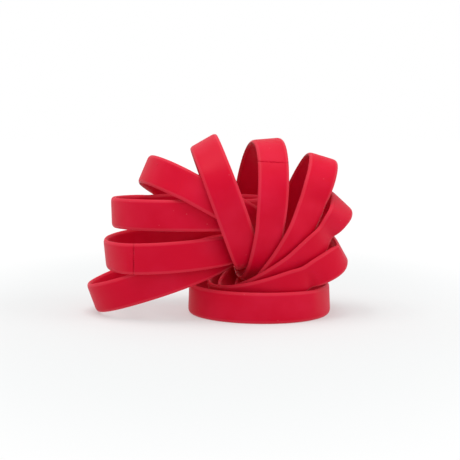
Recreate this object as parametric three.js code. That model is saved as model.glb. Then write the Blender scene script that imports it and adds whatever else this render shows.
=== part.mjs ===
// A fanned nest of ten plain silicone wristbands, each pushed part-way into the one before it.
// Millimetres, +Z up, floor at z = 0. The fan is seen face-on along +Y: X runs right, Y runs away.
// Every band is the same closed loop. The flat first band carries the rest. While the seats are
// worked out the origin is under the first band's middle.
import * as THREE from "three";

// ---------------------------------------------------------------- sizes
const LOOP_DIAMETER = 63; // outside, of a band lying round and free
const BAND_WIDTH = 12.7; // half an inch
const WALL = 1.8; // thickness of the moulded strip
const EDGE_RADIUS = 0.8; // rounding of the strip's edges
const AIR = 0.45; // smallest gap between two nested walls
const FLOOR_AIR = 0.3; // height kept by the band whose far end comes down to the floor

const MID_RADIUS = (LOOP_DIAMETER - WALL) / 2;
const HALF_WIDTH = BAND_WIDTH / 2;
const DEG = Math.PI / 180;

// How each band sits in the one before it.
//   lean: turn in the fan, counter-clockwise, from lying flat with its far end to the right
//   inset: clear space between its near end and the near end of the band before, as a share
//     of the loop's diameter
//   slip: how far its near end is slid down along that wall, as a share of the band's width
//   lift: roll about its own long line that raises the front of the loop, degrees
//   bow: how far both sides of the loop bow towards its lower side, millimetres
const SEATS = [
  { name: "band_01", lean: 0, colour: "#c4122e" },
  { name: "band_02", lean: 19.5, inset: 0.1016, slip: -0.05, lift: -4, bow: 1.5, colour: "#c3122d" },
  { name: "band_03", lean: 39.5, inset: 0.0286, slip: 0.25, lift: -5, bow: 3.2, colour: "#c5132f" },
  { name: "band_04", lean: 62, inset: 0.0175, slip: 0.57, lift: -5, bow: 2.2, colour: "#c2112d" },
  { name: "band_05", lean: 84, inset: 0.0698, slip: -0.1, lift: -8, colour: "#c4132e" },
  { name: "band_06", lean: 110, inset: 0.0365, slip: -0.15, lift: 3, colour: "#c5122f" },
  { name: "band_07", lean: 151.5, inset: 0.027, slip: 1.12, lift: 9, colour: "#c3112c" },
  { name: "band_08", lean: 180, inset: 0.0095, slip: 0.78, lift: 1.5, colour: "#c4122d" },
  { name: "band_09", lean: 184.2, inset: 0.0476, slip: -0.98, lift: -1.5, colour: "#c5122e" },
  { name: "band_10", rests: true, inset: 0.1283, slip: -0.2147, lift: 0, colour: "#c3122e" },
];

// ---------------------------------------------------------------- the seats in the fan's plane
// A seat's long line runs along u from the near end to the far end; n points to its upper side.
function axesOf(leanDegrees) {
  const a = leanDegrees * DEG;
  return {
    u: new THREE.Vector2(Math.cos(a), Math.sin(a)),
    n: new THREE.Vector2(-Math.sin(a), Math.cos(a)),
  };
}

// The near-end corner on the upper side, stepped in from the band before.
function nextCorner(before, seat) {
  return before.corner
    .clone()
    .addScaledVector(before.u, WALL + seat.inset * LOOP_DIAMETER)
    .addScaledVector(before.n, -seat.slip * BAND_WIDTH);
}

// The last band tips about its near end until its far end comes down to the floor. Where its
// lower edge would cut the first band's near rim, the near end is raised clear of it.
const RAISES = 30;
function restingSeat(corner) {
  let slope = 0;
  for (let raise = 0; raise < RAISES; raise++) {
    slope = Math.asin((corner.y - FLOOR_AIR) / (2 * MID_RADIUS));
    const overRim = corner.y - (corner.x + LOOP_DIAMETER / 2) * Math.tan(slope);
    corner.y += Math.max(0, BAND_WIDTH - overRim);
  }
  return { ...axesOf(180 + slope / DEG), corner };
}

function seatAll() {
  const seats = [];
  for (const row of SEATS) {
    const first = new THREE.Vector2(-MID_RADIUS, BAND_WIDTH);
    const corner = seats.length ? nextCorner(seats.at(-1), row) : first;
    const seat = row.rests ? restingSeat(corner) : { ...axesOf(row.lean), corner };
    const middle = seat.corner
      .clone()
      .addScaledVector(seat.n, -HALF_WIDTH)
      .addScaledVector(seat.u, MID_RADIUS);
    // A loop drawn long grows away from the end that is held: near (1), far (-1) or neither (0).
    const grows = row.rests ? -1 : Math.sign(seats.length);
    // A seat turned past upright has n pointing down, so its roll changes sign.
    const roll = (row.lift ?? 0) * DEG * (seat.n.y < 0 ? -1 : 1);
    const bow = row.bow ?? 0;
    seats.push({ ...seat, name: row.name, colour: row.colour, middle, grows, roll, bow });
  }
  return seats;
}

// ---------------------------------------------------------------- the loops' shapes
// A loop is two edges of STATIONS points. Station 0 is the near end, the first half is the front.
// Only depth (across the fan) gives way where loops press on each other; each edge then grows or
// shrinks along u so that its length never changes, because silicone bends but hardly stretches.
const STATIONS = 60;
const HALF = STATIONS / 2;
const LENGTH = 2 * Math.PI * MID_RADIUS;
const turn = (i) => (2 * Math.PI * i) / STATIONS;
const restDepth = (i) => -MID_RADIUS * Math.sin(turn(i));

function makeLoop(seat) {
  const depth = [0, 1].map(() => Array.from({ length: STATIONS }, (_, i) => restDepth(i)));
  return { ...seat, depth, reach: [MID_RADIUS, MID_RADIUS], centre: seat.middle.clone() };
}

const wrap = (i) => (i + STATIONS) % STATIONS;
const along = (loop, i, edge) => -loop.reach[edge] * Math.cos(turn(i));

// A point of the strip: v runs from -1 at the lower edge to 1 at the upper edge.
function stripPoint(loop, i, v) {
  const up = (1 + v) / 2;
  const a = along(loop, i, 0) * (1 - up) + along(loop, i, 1) * up;
  const d = loop.depth[0][i] * (1 - up) + loop.depth[1][i] * up;
  const across = v * HALF_WIDTH;
  const bow = loop.bow * Math.sin(turn(i)) ** 2;
  const lift = across * Math.cos(loop.roll) - d * Math.sin(loop.roll) - bow;
  return new THREE.Vector3(
    loop.centre.x + a * loop.u.x + lift * loop.n.x,
    across * Math.sin(loop.roll) + d * Math.cos(loop.roll),
    loop.centre.y + a * loop.u.y + lift * loop.n.y,
  );
}

// Where a loop's front (side -1) or back (side 1) half lies behind a point of the fan's plane.
const EDGE_MARGIN = 1.1; // counts the strip a little wider than it is
const STEEPEST = 3; // slope at which a wall running away in depth stops asking for more room
const { clamp, lerp } = THREE.MathUtils;
function shadowOn(loop, side, x, z) {
  const dx = x - loop.centre.x;
  const dz = z - loop.centre.y;
  const a = dx * loop.u.x + dz * loop.u.y;
  const out = dx * loop.n.x + dz * loop.n.y;
  let hit = { up: 0.5 };
  // The height on the strip and the depth there depend on each other, so they are found in turns.
  for (let pass = 0; pass < 3; pass++) {
    const reach = lerp(loop.reach[0], loop.reach[1], hit.up);
    if (Math.abs(a) >= reach * 0.999) return null;
    const share = Math.acos(-a / reach) / (2 * Math.PI);
    const where = (side < 0 ? share : 1 - share) * STATIONS;
    const i = wrap(Math.floor(where));
    const j = wrap(i + 1);
    const f = where - Math.floor(where);
    const lower = lerp(loop.depth[0][i], loop.depth[0][j], f);
    const upper = lerp(loop.depth[1][i], loop.depth[1][j], f);
    const d = lerp(lower, upper, hit.up);
    const bow = loop.bow * Math.sin(turn(where)) ** 2;
    const flat = (out + bow + d * Math.sin(loop.roll)) / Math.cos(loop.roll);
    const up = clamp((1 + flat / HALF_WIDTH) / 2, 0, 1);
    hit = { i, j, f, up, flat, d, tilt: (upper - lower) / BAND_WIDTH };
  }
  if (Math.abs(hit.flat) > HALF_WIDTH * EDGE_MARGIN) return null;
  const { i, j, up, flat, d } = hit;
  const rise = lerp(loop.depth[0][j] - loop.depth[0][i], loop.depth[1][j] - loop.depth[1][i], up);
  const run = lerp(along(loop, j, 0) - along(loop, i, 0), along(loop, j, 1) - along(loop, i, 1), up);
  const slope = Math.min(STEEPEST, Math.abs(rise / run));
  const steepness = Math.hypot(1, slope, hit.tilt + Math.tan(loop.roll));
  return { ...hit, y: flat * Math.sin(loop.roll) + d * Math.cos(loop.roll), steepness };
}

function shift(loop, i, up, amount) {
  loop.depth[0][i] += amount * (1 - up);
  loop.depth[1][i] += amount * up;
}

// Parts two loops wherever the inner strip lies less than a wall and a gap inside the outer one.
const OUTER_SHARE = 0.54; // of each push, the part the outer loop gives way
const FIRST_SHARE = 0.2; // the first band, which stands free on the floor, gives less
const ACROSS = [-1, -0.75, -0.5, -0.25, 0, 0.25, 0.5, 0.75, 1];
function part(inner, outer, gap) {
  for (let i = 1; i < STATIONS; i++) {
    if (i === HALF) continue;
    const side = i < HALF ? -1 : 1;
    for (const v of ACROSS) {
      const p = stripPoint(inner, i, v);
      const hit = shadowOn(outer, side, p.x, p.z);
      if (!hit) continue;
      const lack = (WALL + gap) * hit.steepness - (hit.y - p.y) * side;
      if (lack <= 0) continue;
      const push = lack * side;
      const give = push * (outer.grows ? OUTER_SHARE : FIRST_SHARE);
      shift(inner, i, (1 + v) / 2, give - push);
      shift(outer, hit.i, hit.up, give * (1 - hit.f));
      shift(outer, hit.j, hit.up, give * hit.f);
    }
  }
}

// Bending stiffness: spreads each dent along the strip and eases it back towards round.
function ease(loop, stiffness, hold) {
  const gone = loop.depth.map((edge) => edge.map((d, i) => d - restDepth(i)));
  for (const e of [0, 1])
    for (let i = 0; i < STATIONS; i++) {
      const near = (gone[e][wrap(i - 1)] + gone[e][wrap(i + 1)]) / 2;
      const even = gone[e][i] + stiffness * (near - gone[e][i]);
      const other = gone[1 - e][i];
      loop.depth[e][i] = restDepth(i) + (even + 0.02 * (other - gone[e][i])) * hold;
    }
}

// Sets each edge's reach along u so that its length stays what it was moulded to.
function keepLength(loop) {
  for (const e of [0, 1]) {
    let length = 0;
    for (let i = 0; i < STATIONS; i++) {
      const j = wrap(i + 1);
      const run = along(loop, j, e) - along(loop, i, e);
      length += Math.hypot(run, loop.depth[e][j] - loop.depth[e][i]);
    }
    loop.reach[e] *= 1 + 0.6 * (LENGTH / length - 1);
  }
  const grown = (loop.reach[0] + loop.reach[1]) / 2 - MID_RADIUS;
  loop.centre.copy(loop.middle).addScaledVector(loop.u, grown * loop.grows);
}

const ROUNDS = 320;
const BENDING_ROUNDS = 250; // the rounds after these only part what still touches
function settle(loops) {
  for (let round = 0; round < ROUNDS; round++) {
    const bending = round < BENDING_ROUNDS;
    for (const loop of loops) if (bending) ease(loop, 0.5, 0.997);
    for (let outer = 0; outer < loops.length; outer++)
      for (let inner = outer + 1; inner < loops.length; inner++)
        part(loops[inner], loops[outer], AIR);
    for (const loop of loops) if (bending) keepLength(loop);
  }
}

// ---------------------------------------------------------------- the solid strip
// The cross-section as [across, out] points: a rectangle whose corners are cut by the edge radius.
function section() {
  const s = HALF_WIDTH;
  const t = WALL / 2;
  const r = Math.min(EDGE_RADIUS, t - 0.01);
  const upper = [
    [s - r, -t],
    [s, r - t],
    [s, t - r],
    [s - r, t],
  ];
  return [...upper, ...upper.map(([across, out]) => [-across, -out])];
}

function stripGeometry(loop) {
  const shape = section();
  const edge = (i, v) => stripPoint(loop, wrap(i), v);
  const positions = [];
  for (let i = 0; i < STATIONS; i++) {
    const middle = edge(i, 0);
    const wide = edge(i, 1).sub(edge(i, -1)).normalize();
    const ahead = edge(i + 1, 0).sub(edge(i - 1, 0)).normalize();
    const out = new THREE.Vector3().crossVectors(wide, ahead).normalize();
    for (const [s, t] of shape) {
      const p = middle.clone().addScaledVector(wide, s).addScaledVector(out, t);
      positions.push(p.x, p.y, p.z);
    }
  }
  const index = [];
  const m = shape.length;
  for (let i = 0; i < STATIONS; i++)
    for (let k = 0; k < m; k++) {
      const a = i * m + k;
      const b = i * m + ((k + 1) % m);
      const c = wrap(i + 1) * m + k;
      const d = wrap(i + 1) * m + ((k + 1) % m);
      index.push(a, c, b, b, c, d);
    }
  const geometry = new THREE.BufferGeometry();
  geometry.setAttribute("position", new THREE.Float32BufferAttribute(positions, 3));
  geometry.setIndex(index);
  geometry.computeVertexNormals();
  return geometry;
}

// ---------------------------------------------------------------- the group
function build() {
  const loops = seatAll().map(makeLoop);
  settle(loops);
  const group = new THREE.Group();
  group.name = "silicone_wristband_nest";
  for (const loop of loops) {
    const material = new THREE.MeshStandardMaterial({
      color: loop.colour,
      roughness: 0.55,
      metalness: 0,
    });
    const mesh = new THREE.Mesh(stripGeometry(loop), material);
    mesh.name = loop.name;
    group.add(mesh);
  }
  // The origin goes to the floor under the middle of the whole nest.
  const box = new THREE.Box3().setFromObject(group);
  const middle = box.getCenter(new THREE.Vector3());
  for (const mesh of group.children) mesh.geometry.translate(-middle.x, -middle.y, -box.min.z);
  return group;
}

export default build();
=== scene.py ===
"""A fanned nest of plain silicone wristbands, finished as moulded rubber around its CAD frame.

Each band's piece is a welded copy of the band's CAD strip. It is given rows across its faces,
its edges are rounded by subdivision, and the marks of its mould are cut into it.
Lengths are in metres.
"""

import math

import bpy
from bpy.props import FloatProperty, FloatVectorProperty, IntProperty, PointerProperty
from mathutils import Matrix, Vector


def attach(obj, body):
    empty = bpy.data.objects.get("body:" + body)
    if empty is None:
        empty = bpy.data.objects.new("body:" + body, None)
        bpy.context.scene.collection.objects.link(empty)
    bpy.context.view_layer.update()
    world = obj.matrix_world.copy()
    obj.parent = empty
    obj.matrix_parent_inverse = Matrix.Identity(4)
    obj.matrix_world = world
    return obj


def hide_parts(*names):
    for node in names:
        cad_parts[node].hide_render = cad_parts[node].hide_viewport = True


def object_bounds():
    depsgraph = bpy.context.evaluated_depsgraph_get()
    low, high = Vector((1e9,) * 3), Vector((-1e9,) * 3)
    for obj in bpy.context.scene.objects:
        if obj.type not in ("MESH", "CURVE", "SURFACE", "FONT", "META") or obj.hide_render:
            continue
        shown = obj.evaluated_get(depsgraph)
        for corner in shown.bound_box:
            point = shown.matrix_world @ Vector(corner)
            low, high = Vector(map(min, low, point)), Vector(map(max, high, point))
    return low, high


bl_info = {
    "name": "Silicone wristband nest",
    "version": (1, 0, 0),
    "blender": (4, 5, 0),
    "location": "View3D > Sidebar > Wristbands",
    "description": "Finishes a fanned nest of silicone wristbands",
    "category": "Object",
}

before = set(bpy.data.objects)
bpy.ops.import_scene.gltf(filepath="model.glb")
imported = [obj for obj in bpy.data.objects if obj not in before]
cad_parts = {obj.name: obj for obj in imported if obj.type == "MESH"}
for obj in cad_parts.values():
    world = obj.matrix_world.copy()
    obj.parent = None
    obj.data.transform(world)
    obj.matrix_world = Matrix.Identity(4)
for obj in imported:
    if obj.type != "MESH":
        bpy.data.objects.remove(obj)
CAD_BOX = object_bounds()
NEST_LOW, NEST_HIGH = CAD_BOX
NEST_MIDDLE = (NEST_LOW + NEST_HIGH) / 2
NEST_WIDTH = NEST_HIGH.x - NEST_LOW.x
NEST_HEIGHT = NEST_HIGH.z - NEST_LOW.z

MM = 0.001
RIM = "rim"  # attribute that is 1 on a strip's rims and 0 on its broad faces

# The moulded strip's cross-section, a flat bar with cut corners.
BAND_WIDTH = 12.7 * MM
WALL = 1.8 * MM
CORNER_CUT = 0.8 * MM
FACE_WIDTH = BAND_WIDTH - 2 * CORNER_CUT
SECTION_SIDES = (FACE_WIDTH, CORNER_CUT * math.sqrt(2), WALL - 2 * CORNER_CUT)
SECTION_SLACK = 0.001 * MM  # how closely an edge's length has to match
WELD = 0.002 * MM

# Marks of the mould on the outer face of a band's front: places in the fan's plane, as (x, z).
MOULD_LINES = {
    "band_05": ((16.3 * MM, 64.6 * MM), (28.2 * MM, 63.9 * MM)),
    "band_09": ((-34.1 * MM, 31.6 * MM), (-34.2 * MM, 20.7 * MM)),
}
GATE_MARKS = {"band_07": (-24.9 * MM, 63.0 * MM)}
# Cuts beside a mould line, in half widths, and the share of its depth that each one takes.
GROOVE_CUTS = ((-2.2, 0), (-1, 0), (-0.5, 0.7), (0, 1), (0.5, 0.7), (1, 0), (2.2, 0))
CUT_SLACK = 0.02 * MM
GROOVE_RUNOUT = 1.5 * MM  # how far a groove may run on past its line's ends
GROOVE_REGION = 3 * MM  # faces this near to the line are cut

# The silicone's surface.
CLOUD_SIZE = 14 * MM
DUST_SPACING = 5 * MM
GRAIN_HEIGHT = 0.05 * MM
BLEED_DEPTH = 1.2 * MM  # how far light spreads under the surface

# The studio.
OVERHEAD_PLACE = Vector((-0.12, -0.05, 0.75))
OVERHEAD_SIZE = 0.6
SIDE_PLACE = Vector((0.65, -0.15, 0.45))
SIDE_SIZE = 0.5
AIM = Vector((0.0046, 0.0, 0.459 * NEST_HEIGHT))


# ---------------------------------------------------------------- what a user would change
class BandSizes(bpy.types.PropertyGroup):
    """Sizes of the finished strips."""

    rows: IntProperty(
        name="Rows across",
        description="Cuts along each broad face, which hold it flat while its edges are rounded",
        default=5,
        min=2,
        max=12,
    )
    rounding: IntProperty(
        name="Rounding",
        description="Subdivision levels that round the strip's edges",
        default=2,
        min=1,
        max=3,
    )
    seam_width: FloatProperty(
        name="Mould line width",
        description="Width of the fine groove left where two mould blocks met",
        default=0.5 * MM,
        unit="LENGTH",
    )
    seam_depth: FloatProperty(
        name="Mould line depth",
        description="Depth of that groove",
        default=0.34 * MM,
        unit="LENGTH",
    )
    gate_step: FloatProperty(
        name="Gate mark",
        description="Width and height of the first step of the pip where the mould was filled",
        default=0.1375 * MM,
        unit="LENGTH",
    )


class SiliconeFinish(bpy.types.PropertyGroup):
    """Colour and surface of the moulded silicone."""

    colour: FloatVectorProperty(
        name="Colour",
        description="Colour of the silicone",
        subtype="COLOR",
        size=3,
        min=0,
        max=1,
        default=(0.62, 0.0008, 0.024),
    )
    bloom: FloatVectorProperty(
        name="Bloom",
        description="Paler tone where the surface has a faint dusty bloom",
        subtype="COLOR",
        size=3,
        min=0,
        max=1,
        default=(0.70, 0.012, 0.05),
    )
    dust: FloatVectorProperty(
        name="Dust",
        description="Colour of the dust specks",
        subtype="COLOR",
        size=3,
        min=0,
        max=1,
        default=(0.85, 0.25, 0.28),
    )
    # Painted highlight: a paler tone laid along the rims, where light catches the rounded edges.
    painted_rim_highlight: FloatVectorProperty(
        name="Worn rim",
        description="Paler tone that handling leaves along the rims",
        subtype="COLOR",
        size=3,
        min=0,
        max=1,
        default=(0.80, 0.09, 0.13),
    )
    roughness: FloatProperty(
        name="Roughness",
        description="Roughness of the moulded surface",
        default=0.48,
        min=0,
        max=1,
        subtype="FACTOR",
    )
    grain: FloatProperty(
        name="Grain",
        description="Size of the fine grain that the mould leaves",
        default=0.25 * MM,
        unit="LENGTH",
    )


class StageSetup(bpy.types.PropertyGroup):
    """Floor, light and camera."""

    # The floor's faint cyan tint is painted: it offsets the red light that the bands reflect onto
    # the paper.
    floor_colour: FloatVectorProperty(
        name="Floor",
        description="Colour of the paper the nest stands on",
        subtype="COLOR",
        size=3,
        min=0,
        max=1,
        default=(0.69, 0.71, 0.71),
    )
    room_light: FloatProperty(
        name="Room light",
        description="Strength of the even light from all round",
        default=0.74,
        min=0,
    )
    overhead_power: FloatProperty(
        name="Overhead light",
        description="Power of the soft light above the nest",
        default=3.0,
        min=0,
        unit="POWER",
    )
    side_power: FloatProperty(
        name="Side light",
        description="Power of the soft light on the right",
        default=1.3,
        min=0,
        unit="POWER",
    )
    camera_distance: FloatProperty(
        name="Camera distance",
        description="From the camera to the middle of the nest",
        default=0.525,
        unit="LENGTH",
    )
    camera_height: FloatProperty(
        name="Camera elevation",
        description="Angle of the camera above the horizon",
        default=math.radians(5.9),
        subtype="ANGLE",
    )
    lens: FloatProperty(
        name="Lens",
        description="Focal length in millimetres on a 36 mm sensor",
        default=97.0,
    )


# ---------------------------------------------------------------- small helpers
def deselect_everything():
    if bpy.context.object and bpy.context.object.mode != "OBJECT":
        bpy.ops.object.mode_set(mode="OBJECT")
    bpy.ops.object.select_all(action="DESELECT")


def make_active(piece):
    deselect_everything()
    piece.select_set(True)
    bpy.context.view_layer.objects.active = piece


def pick(piece, parts, wanted):
    """Selects, from object mode, only those of a piece's edges or faces that are wanted."""
    mesh = piece.data
    for kind in (mesh.vertices, mesh.edges, mesh.polygons):
        kind.foreach_set("select", [False] * len(kind))
    for part in parts:
        part.select = wanted(part)


def edit_picked(select_mode):
    """Opens edit mode on what was picked."""
    modes = ("VERT", "EDGE", "FACE")
    bpy.context.tool_settings.mesh_select_mode = [mode == select_mode for mode in modes]
    bpy.ops.object.mode_set(mode="EDIT")


def apply_subdivision(piece, levels):
    rounding = piece.modifiers.new("Rounding", "SUBSURF")
    rounding.levels = levels
    rounding.render_levels = levels
    bpy.ops.object.modifier_apply(modifier=rounding.name)


def edge_length(mesh, edge):
    start, end = (mesh.vertices[v].co for v in edge.vertices)
    return (start - end).length


def in_the_fan(place):
    """The point of the fan's plane at (x, z)."""
    return Vector((place[0], 0, place[1]))


# ---------------------------------------------------------------- the silicone
def new_material(name):
    material = bpy.data.materials.new(name)
    material.use_nodes = True
    nodes = material.node_tree.nodes
    return material, nodes, material.node_tree.links, nodes["Principled BSDF"]


def fit_range(nodes, links, source, span, result):
    """Maps a value from one span to another, held at its ends."""
    fit = nodes.new("ShaderNodeMapRange")
    for socket, value in zip(("From Min", "From Max", "To Min", "To Max"), (*span, *result)):
        fit.inputs[socket].default_value = value
    links.new(source, fit.inputs["Value"])
    return fit.outputs["Result"]


def lay_over(nodes, links, under, over, strength):
    """Mixes the plain colour over into the colour under."""
    mix = nodes.new("ShaderNodeMix")
    mix.data_type = "RGBA"
    mix.inputs["B"].default_value = (*over, 1)
    links.new(strength, mix.inputs["Factor"])
    if isinstance(under, bpy.types.NodeSocket):
        links.new(under, mix.inputs["A"])
    else:
        mix.inputs["A"].default_value = (*under, 1)
    return mix.outputs["Result"]


def silicone_material(name, finish, batch):
    """Matt silicone: clouded colour, dust specks, a painted highlight along the rims and a fine
    moulded grain.
    """
    material, nodes, links, shader = new_material(name)
    place = nodes.new("ShaderNodeTexCoord").outputs["Object"]

    cloud = nodes.new("ShaderNodeTexNoise")
    cloud.noise_dimensions = "4D"
    cloud.inputs["W"].default_value = batch
    cloud.inputs["Scale"].default_value = 1 / CLOUD_SIZE
    cloud.inputs["Detail"].default_value = 3
    links.new(place, cloud.inputs["Vector"])
    clouded = fit_range(nodes, links, cloud.outputs["Fac"], (0.45, 0.75), (0, 0.5))
    tone = lay_over(nodes, links, finish.colour, finish.bloom, clouded)

    dust = nodes.new("ShaderNodeTexVoronoi")
    dust.inputs["Scale"].default_value = 1 / DUST_SPACING
    dust.inputs["Randomness"].default_value = 1
    links.new(place, dust.inputs["Vector"])
    specks = fit_range(nodes, links, dust.outputs["Distance"], (0.05, 0.03), (0, 0.28))
    dusted = lay_over(nodes, links, tone, finish.dust, specks)

    # Painted highlight: the rims are lightened where light catches their rounded edges.
    rim = nodes.new("ShaderNodeAttribute")
    rim.attribute_name = RIM
    rim_highlight_share = fit_range(nodes, links, rim.outputs["Fac"], (0.75, 0.97), (0, 0.2))
    colour = lay_over(nodes, links, dusted, finish.painted_rim_highlight, rim_highlight_share)
    links.new(colour, shader.inputs["Base Color"])

    matt_span = (finish.roughness - 0.05, finish.roughness + 0.07)
    matt = fit_range(nodes, links, cloud.outputs["Fac"], (0, 1), matt_span)
    links.new(matt, shader.inputs["Roughness"])

    grain = nodes.new("ShaderNodeTexNoise")
    grain.inputs["Scale"].default_value = 1 / finish.grain
    grain.inputs["Detail"].default_value = 2
    links.new(place, grain.inputs["Vector"])
    relief = nodes.new("ShaderNodeBump")
    relief.inputs["Strength"].default_value = 0.12
    relief.inputs["Distance"].default_value = GRAIN_HEIGHT
    links.new(grain.outputs["Fac"], relief.inputs["Height"])
    links.new(relief.outputs["Normal"], shader.inputs["Normal"])

    shader.inputs["IOR"].default_value = 1.41
    shader.inputs["Specular IOR Level"].default_value = 0.13
    shader.inputs["Sheen Weight"].default_value = 0.035
    shader.inputs["Sheen Roughness"].default_value = 0.35
    shader.inputs["Subsurface Weight"].default_value = 0.08
    shader.inputs["Subsurface Radius"].default_value = (1.0, 0.12, 0.08)
    shader.inputs["Subsurface Scale"].default_value = BLEED_DEPTH
    return material


# ---------------------------------------------------------------- the bands
def mark_sections(piece):
    """Marks as seams the edges of the strip's cross-sections, known by their moulded lengths."""
    for edge in piece.data.edges:
        length = edge_length(piece.data, edge)
        edge.use_seam = any(abs(length - side) < SECTION_SLACK for side in SECTION_SIDES)


def find_diagonals(mesh):
    """Finds the edge that splits each quad of the strip in two.

    Each triangle has a section edge, an edge along the strip and a diagonal. On a broad face the
    edge along starts at the section end that the third corner lies over. Its neighbours follow.
    """
    seams = {tuple(sorted(edge.vertices)) for edge in mesh.edges if edge.use_seam}
    sides = [[tuple(sorted(key)) for key in face.edge_keys] for face in mesh.polygons]
    owners = {}
    for number, keys in enumerate(sides):
        for key in keys:
            owners.setdefault(key, []).append(number)

    along = []
    for keys in sides:
        start, end = next(key for key in keys if key in seams)
        (apex,) = set(sum(keys, ())) - {start, end}
        line = mesh.vertices[end].co - mesh.vertices[start].co
        if line.length < 0.9 * FACE_WIDTH:
            continue
        share = (mesh.vertices[apex].co - mesh.vertices[start].co).dot(line) / line.length_squared
        along.append(tuple(sorted((apex, start if share < 0.5 else end))))

    done = set(along)
    diagonals = set()
    while along:
        edge = along.pop()
        for number in owners[edge]:
            (diagonal,) = [key for key in sides[number] if key not in seams and key != edge]
            diagonals.add(diagonal)
            for other in owners[diagonal]:
                for key in sides[other]:
                    if key not in seams and key != diagonal and key not in done:
                        done.add(key)
                        along.append(key)
    return diagonals


def make_quads(piece):
    """Dissolves the diagonals, which leaves the strip in quads."""
    diagonals = find_diagonals(piece.data)
    pick(piece, piece.data.edges, lambda edge: tuple(sorted(edge.vertices)) in diagonals)
    edit_picked("EDGE")
    bpy.ops.mesh.dissolve_edges(use_verts=False)
    bpy.ops.object.mode_set(mode="OBJECT")
    if any(len(face.vertices) != 4 for face in piece.data.polygons):
        raise RuntimeError(f"{piece.name} has a face that isn't a quad")


def cut_rows(piece, rows):
    """Cuts each broad face into rows, and marks the corners that were there before as the rim."""
    mesh = piece.data
    corners = len(mesh.vertices)

    def crosses_a_face(edge):
        return edge.use_seam and edge_length(mesh, edge) > 0.9 * FACE_WIDTH

    pick(piece, mesh.edges, crosses_a_face)
    edit_picked("EDGE")
    bpy.ops.mesh.subdivide(number_cuts=rows)
    bpy.ops.object.mode_set(mode="OBJECT")
    rim = mesh.attributes.new(RIM, "FLOAT", "POINT")
    rim.data.foreach_set("value", [number < corners for number in range(len(mesh.vertices))])


def strip_piece(node_name, sizes):
    """A band's strip: the CAD strip welded, with rows across its faces and rounded edges."""
    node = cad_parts[node_name]
    piece = bpy.data.objects.new(f"{node_name}_silicone", node.data.copy())
    bpy.context.scene.collection.objects.link(piece)
    make_active(piece)
    bpy.ops.object.mode_set(mode="EDIT")
    bpy.ops.mesh.select_all(action="SELECT")
    bpy.ops.mesh.remove_doubles(threshold=WELD)
    bpy.ops.object.mode_set(mode="OBJECT")
    mark_sections(piece)
    make_quads(piece)
    cut_rows(piece, sizes.rows)
    apply_subdivision(piece, sizes.rounding)
    bpy.ops.object.shade_smooth()
    return piece


# ---------------------------------------------------------------- the marks of the mould
def faces_the_front(face):
    return face.normal.y < -0.2


def cut_mould_line(piece, start, end, sizes):
    """Cuts a fine groove straight across the outer face of a strip's front, seen along Y."""
    across = (end - start).normalized()
    beside = across.cross(Vector((0, 1, 0)))
    middle = (start + end) / 2
    half = sizes.seam_width / 2
    reach = (end - start).length / 2 + GROOVE_RUNOUT
    mesh = piece.data

    def near_line(point, slack):
        off = point - middle
        return abs(off.dot(beside)) < slack and abs(off.dot(across)) < reach and point.y < 0

    def to_be_cut(face):
        return faces_the_front(face) and near_line(face.center, GROOVE_REGION)

    make_active(piece)
    for offset, _ in GROOVE_CUTS:
        pick(piece, mesh.polygons, to_be_cut)
        edit_picked("FACE")
        bpy.ops.mesh.bisect(plane_co=middle + beside * offset * half, plane_no=beside)
        bpy.ops.object.mode_set(mode="OBJECT")

    fronts = {v for face in mesh.polygons if faces_the_front(face) for v in face.vertices}
    for offset, share in GROOVE_CUTS:
        for number in fronts:
            point = mesh.vertices[number]
            on_cut = abs((point.co - middle).dot(beside) - offset * half) < CUT_SLACK
            if share and on_cut and near_line(point.co, half):
                point.co -= point.normal * sizes.seam_depth * share


def raise_gate_mark(piece, spot, sizes):
    """Raises the small pip left where the mould was filled, on the outer face of the front."""

    def distance(face):
        return (Vector((face.center.x, 0, face.center.z)) - spot).length

    fronts = [face for face in piece.data.polygons if faces_the_front(face) and face.center.y < 0]
    chosen = min(fronts, key=distance).index
    make_active(piece)
    pick(piece, piece.data.polygons, lambda face: face.index == chosen)
    edit_picked("FACE")
    bpy.ops.mesh.inset(thickness=sizes.gate_step, depth=sizes.gate_step)
    bpy.ops.mesh.inset(thickness=sizes.gate_step, depth=sizes.gate_step / 3)
    bpy.ops.object.mode_set(mode="OBJECT")


def mark_from_mould(piece, node_name, sizes):
    """Gives a band those marks of its mould that show on it."""
    if node_name in MOULD_LINES:
        start, end = (in_the_fan(place) for place in MOULD_LINES[node_name])
        cut_mould_line(piece, start, end, sizes)
    if node_name in GATE_MARKS:
        raise_gate_mark(piece, in_the_fan(GATE_MARKS[node_name]), sizes)


class NEST_OT_bands(bpy.types.Operator):
    """Model every band of the nest as a rounded silicone strip"""

    bl_idname = "nest.bands"
    bl_label = "Wristbands"

    def execute(self, context):
        sizes = context.scene.nest_bands
        finish = context.scene.nest_silicone
        for batch, node_name in enumerate(sorted(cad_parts)):
            piece = strip_piece(node_name, sizes)
            mark_from_mould(piece, node_name, sizes)
            piece.data.materials.clear()
            piece.data.materials.append(silicone_material(f"silicone_{node_name}", finish, batch))
            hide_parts(node_name)
            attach(piece, node_name)
        return {"FINISHED"}


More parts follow.
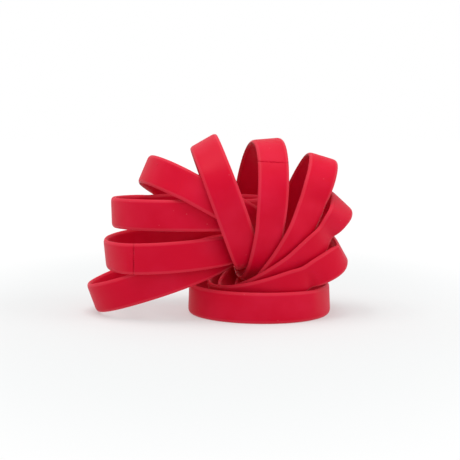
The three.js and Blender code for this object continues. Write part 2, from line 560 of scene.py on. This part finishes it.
# ---------------------------------------------------------------- floor, light and camera
def paper_material(stage):
    """White paper that takes soft shadows near the nest, lightened there by a painted glow, and
    glows fully with painted light further off, where it is burnt out.
    """
    material, nodes, links, shader = new_material("white_paper")
    shader.inputs["Base Color"].default_value = (*stage.floor_colour, 1)
    shader.inputs["Roughness"].default_value = 0.9
    shader.inputs["Specular IOR Level"].default_value = 0.1
    # Painted light: the paper glows though it is no lamp, a little near the nest, which lightens
    # its shadows, and fully further off.
    glow = nodes.new("ShaderNodeEmission")
    glow.inputs["Strength"].default_value = 1.02
    place = nodes.new("ShaderNodeTexCoord")
    spread = nodes.new("ShaderNodeMapping")
    spread.inputs["Scale"].default_value = (1.0, 0.62, 1.0)
    reach = nodes.new("ShaderNodeVectorMath")
    reach.operation = "LENGTH"
    links.new(place.outputs["Object"], spread.inputs["Vector"])
    links.new(spread.outputs["Vector"], reach.inputs[0])
    span = (0.55 * NEST_WIDTH, 1.7 * NEST_WIDTH)
    fade = fit_range(nodes, links, reach.outputs["Value"], span, (0.35, 1))
    fade.node.interpolation_type = "SMOOTHERSTEP"
    blend = nodes.new("ShaderNodeMixShader")
    links.new(fade, blend.inputs["Fac"])
    links.new(shader.outputs["BSDF"], blend.inputs[1])
    links.new(glow.outputs["Emission"], blend.inputs[2])
    links.new(blend.outputs["Shader"], nodes["Material Output"].inputs["Surface"])
    return material


def paper_floor(stage):
    deselect_everything()
    bpy.ops.mesh.primitive_plane_add(size=40 * NEST_WIDTH)
    floor = bpy.context.object
    floor.name = "floor"
    floor.data.materials.append(paper_material(stage))


def soft_light(name, place, size, power):
    lamp = bpy.data.lights.new(name, "AREA")
    lamp.shape = "DISK"
    lamp.size = size
    lamp.energy = power
    light = bpy.data.objects.new(name, lamp)
    light.location = place
    light.rotation_euler = (NEST_MIDDLE - place).to_track_quat("-Z", "Y").to_euler()
    bpy.context.scene.collection.objects.link(light)


def white_room(strength):
    """Even light from all round, behind a backdrop that the camera sees as plain white."""
    world = bpy.data.worlds.new("white_room")
    world.use_nodes = True
    nodes = world.node_tree.nodes
    links = world.node_tree.links
    room = nodes["Background"]
    room.inputs["Color"].default_value = (1, 1, 1, 1)
    room.inputs["Strength"].default_value = strength
    backdrop = nodes.new("ShaderNodeBackground")
    backdrop.inputs["Color"].default_value = (1, 1, 1, 1)
    ray = nodes.new("ShaderNodeLightPath")
    seen = nodes.new("ShaderNodeMixShader")
    links.new(ray.outputs["Is Camera Ray"], seen.inputs["Fac"])
    links.new(room.outputs["Background"], seen.inputs[1])
    links.new(backdrop.outputs["Background"], seen.inputs[2])
    links.new(seen.outputs["Shader"], nodes["World Output"].inputs["Surface"])
    bpy.context.scene.world = world


def stand_camera(stage):
    lens = bpy.data.cameras.new("camera")
    lens.lens = stage.lens
    lens.clip_start = 0.01
    camera = bpy.data.objects.new("camera", lens)
    height = stage.camera_height
    back = Vector((0, -math.cos(height), math.sin(height)))
    camera.location = AIM + back * stage.camera_distance
    camera.rotation_euler = (-back).to_track_quat("-Z", "Y").to_euler()
    bpy.context.scene.collection.objects.link(camera)
    bpy.context.scene.camera = camera


class NEST_OT_stage(bpy.types.Operator):
    """Lay the paper floor, hang the soft lights and stand the camera"""

    bl_idname = "nest.stage"
    bl_label = "Stage"

    def execute(self, context):
        stage = context.scene.nest_stage
        paper_floor(stage)
        soft_light("overhead_box", OVERHEAD_PLACE, OVERHEAD_SIZE, stage.overhead_power)
        soft_light("right_box", SIDE_PLACE, SIDE_SIZE, stage.side_power)
        white_room(stage.room_light)
        stand_camera(stage)
        context.scene.view_settings.view_transform = "Standard"
        return {"FINISHED"}


# ---------------------------------------------------------------- the panel and the run
OPERATORS = (NEST_OT_bands, NEST_OT_stage)


class NEST_PT_panel(bpy.types.Panel):
    """Steps and sizes of the wristband nest"""

    bl_idname = "NEST_PT_panel"
    bl_label = "Wristband nest"
    bl_space_type = "VIEW_3D"
    bl_region_type = "UI"
    bl_category = "Wristbands"

    def draw(self, context):
        scene = context.scene
        for operator in OPERATORS:
            self.layout.operator(operator.bl_idname)
        for group in (scene.nest_bands, scene.nest_silicone, scene.nest_stage):
            box = self.layout.box()
            for name in group.__annotations__:
                box.prop(group, name)


CLASSES = (BandSizes, SiliconeFinish, StageSetup, *OPERATORS, NEST_PT_panel)


def register():
    for cls in CLASSES:
        bpy.utils.register_class(cls)
    bpy.types.Scene.nest_bands = PointerProperty(type=BandSizes)
    bpy.types.Scene.nest_silicone = PointerProperty(type=SiliconeFinish)
    bpy.types.Scene.nest_stage = PointerProperty(type=StageSetup)


def unregister():
    for name in ("nest_bands", "nest_silicone", "nest_stage"):
        delattr(bpy.types.Scene, name)
    for cls in reversed(CLASSES):
        bpy.utils.unregister_class(cls)


def main():
    register()
    bpy.ops.nest.bands()
    bpy.ops.nest.stage()


if __name__ == "__main__":
    main()
